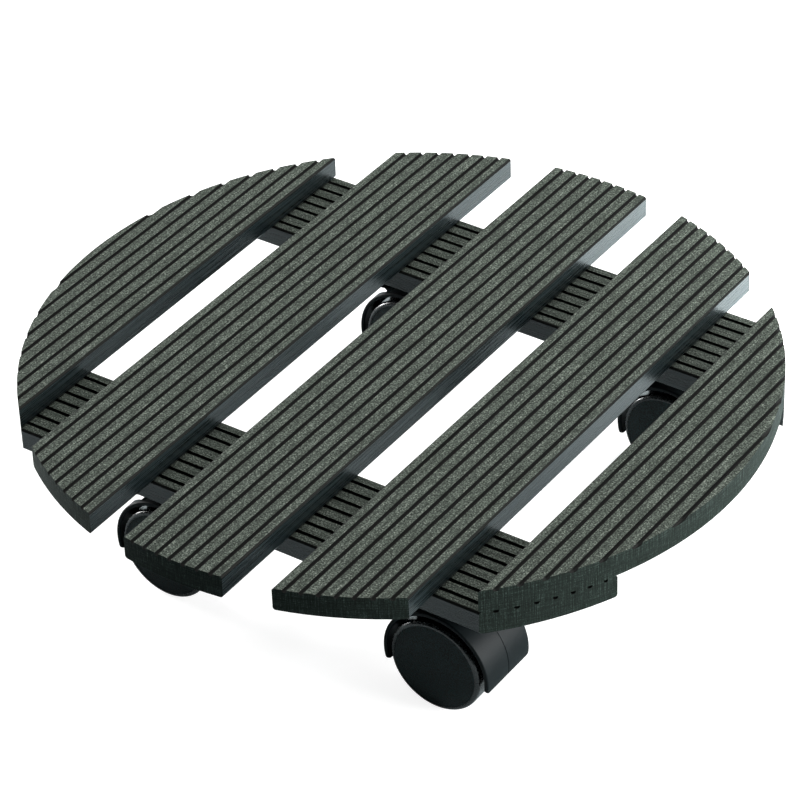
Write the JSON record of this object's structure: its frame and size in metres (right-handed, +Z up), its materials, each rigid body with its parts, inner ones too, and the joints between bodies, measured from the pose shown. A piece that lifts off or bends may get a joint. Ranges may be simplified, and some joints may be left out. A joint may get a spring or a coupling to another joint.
{
  "type": "plant pot caddy",
  "caption": "Round slatted plant pot caddy of grooved composite boards on cross battens, with hooded twin-wheel swivel casters under it.",
  "frame": {"origin": "on the floor, under the centre of the round deck", "axes": "+Z up; +Y along the deck boards; +X along the battens, the way the casters trail at rest"},
  "size_m": [0.38, 0.38, 0.091],
  "materials": {
    "composite_board": "wood-plastic composite, ribs sanded to a speckled grey, sides as extruded",
    "hood_nylon": "black nylon, satin as moulded",
    "wheel_nylon": "black nylon, smooth tread",
    "cap_nylon": "black nylon, fine moulded grain",
    "washer_nylon": "black acetal washer",
    "plate_steel": "black-passivated steel plate",
    "pin_steel": "bright turned steel",
    "screw_steel": "zinc-plated steel"
  },
  "bodies": {
    "deck": {"slat_1": "composite_board", "slat_2": "composite_board", "slat_3": "composite_board", "slat_4": "composite_board", "slat_5": "composite_board", "batten_front": "composite_board", "batten_rear": "composite_board", "slat_screws": "screw_steel", "top_plate_front_left": "plate_steel", "plate_screws_front_left": "screw_steel", "kingpin_front_left": "pin_steel", "grip_ring_front_left": "pin_steel", "thrust_washer_front_left": "washer_nylon", "top_plate_front_right": "plate_steel", "plate_screws_front_right": "screw_steel", "kingpin_front_right": "pin_steel", "grip_ring_front_right": "pin_steel", "thrust_washer_front_right": "washer_nylon", "top_plate_rear_left": "plate_steel", "plate_screws_rear_left": "screw_steel", "kingpin_rear_left": "pin_steel", "grip_ring_rear_left": "pin_steel", "thrust_washer_rear_left": "washer_nylon", "top_plate_rear_right": "plate_steel", "plate_screws_rear_right": "screw_steel", "kingpin_rear_right": "pin_steel", "grip_ring_rear_right": "pin_steel", "thrust_washer_rear_right": "washer_nylon"},
    "caster_front_left": {"hood_front_left": "hood_nylon", "axle_front_left": "pin_steel", "axle_clips_front_left": "pin_steel"},
    "wheel_front_left_1_body": {"wheel_front_left_1": "wheel_nylon", "wheel_cap_front_left_1": "cap_nylon"},
    "wheel_front_left_2_body": {"wheel_front_left_2": "wheel_nylon", "wheel_cap_front_left_2": "cap_nylon"},
    "caster_front_right": {"hood_front_right": "hood_nylon", "axle_front_right": "pin_steel", "axle_clips_front_right": "pin_steel"},
    "wheel_front_right_1_body": {"wheel_front_right_1": "wheel_nylon", "wheel_cap_front_right_1": "cap_nylon"},
    "wheel_front_right_2_body": {"wheel_front_right_2": "wheel_nylon", "wheel_cap_front_right_2": "cap_nylon"},
    "caster_rear_left": {"hood_rear_left": "hood_nylon", "axle_rear_left": "pin_steel", "axle_clips_rear_left": "pin_steel"},
    "wheel_rear_left_1_body": {"wheel_rear_left_1": "wheel_nylon", "wheel_cap_rear_left_1": "cap_nylon"},
    "wheel_rear_left_2_body": {"wheel_rear_left_2": "wheel_nylon", "wheel_cap_rear_left_2": "cap_nylon"},
    "caster_rear_right": {"hood_rear_right": "hood_nylon", "axle_rear_right": "pin_steel", "axle_clips_rear_right": "pin_steel"},
    "wheel_rear_right_1_body": {"wheel_rear_right_1": "wheel_nylon", "wheel_cap_rear_right_1": "cap_nylon"},
    "wheel_rear_right_2_body": {"wheel_rear_right_2": "wheel_nylon", "wheel_cap_rear_right_2": "cap_nylon"}
  },
  "joints": [
    {"name": "swivel_front_left", "type": "hinge", "parent": "deck", "child": "caster_front_left", "pos_m": [-0.08, -0.106, 0.062], "axis": [0, 0, 1], "continuous": true},
    {"name": "roll_front_left_1", "type": "hinge", "parent": "caster_front_left", "child": "wheel_front_left_1_body", "pos_m": [-0.0585, -0.118, 0.025], "axis": [0, 1, 0], "continuous": true},
    {"name": "roll_front_left_2", "type": "hinge", "parent": "caster_front_left", "child": "wheel_front_left_2_body", "pos_m": [-0.0585, -0.094, 0.025], "axis": [0, 1, 0], "continuous": true},
    {"name": "swivel_front_right", "type": "hinge", "parent": "deck", "child": "caster_front_right", "pos_m": [0.08, -0.106, 0.062], "axis": [0, 0, 1], "continuous": true},
    {"name": "roll_front_right_1", "type": "hinge", "parent": "caster_front_right", "child": "wheel_front_right_1_body", "pos_m": [0.1015, -0.118, 0.025], "axis": [0, 1, 0], "continuous": true},
    {"name": "roll_front_right_2", "type": "hinge", "parent": "caster_front_right", "child": "wheel_front_right_2_body", "pos_m": [0.1015, -0.094, 0.025], "axis": [0, 1, 0], "continuous": true},
    {"name": "swivel_rear_left", "type": "hinge", "parent": "deck", "child": "caster_rear_left", "pos_m": [-0.08, 0.106, 0.062], "axis": [0, 0, 1], "continuous": true},
    {"name": "roll_rear_left_1", "type": "hinge", "parent": "caster_rear_left", "child": "wheel_rear_left_1_body", "pos_m": [-0.0585, 0.094, 0.025], "axis": [0, 1, 0], "continuous": true},
    {"name": "roll_rear_left_2", "type": "hinge", "parent": "caster_rear_left", "child": "wheel_rear_left_2_body", "pos_m": [-0.0585, 0.118, 0.025], "axis": [0, 1, 0], "continuous": true},
    {"name": "swivel_rear_right", "type": "hinge", "parent": "deck", "child": "caster_rear_right", "pos_m": [0.08, 0.106, 0.062], "axis": [0, 0, 1], "continuous": true},
    {"name": "roll_rear_right_1", "type": "hinge", "parent": "caster_rear_right", "child": "wheel_rear_right_1_body", "pos_m": [0.1015, 0.094, 0.025], "axis": [0, 1, 0], "continuous": true},
    {"name": "roll_rear_right_2", "type": "hinge", "parent": "caster_rear_right", "child": "wheel_rear_right_2_body", "pos_m": [0.1015, 0.118, 0.025], "axis": [0, 1, 0], "continuous": true}
  ]
}
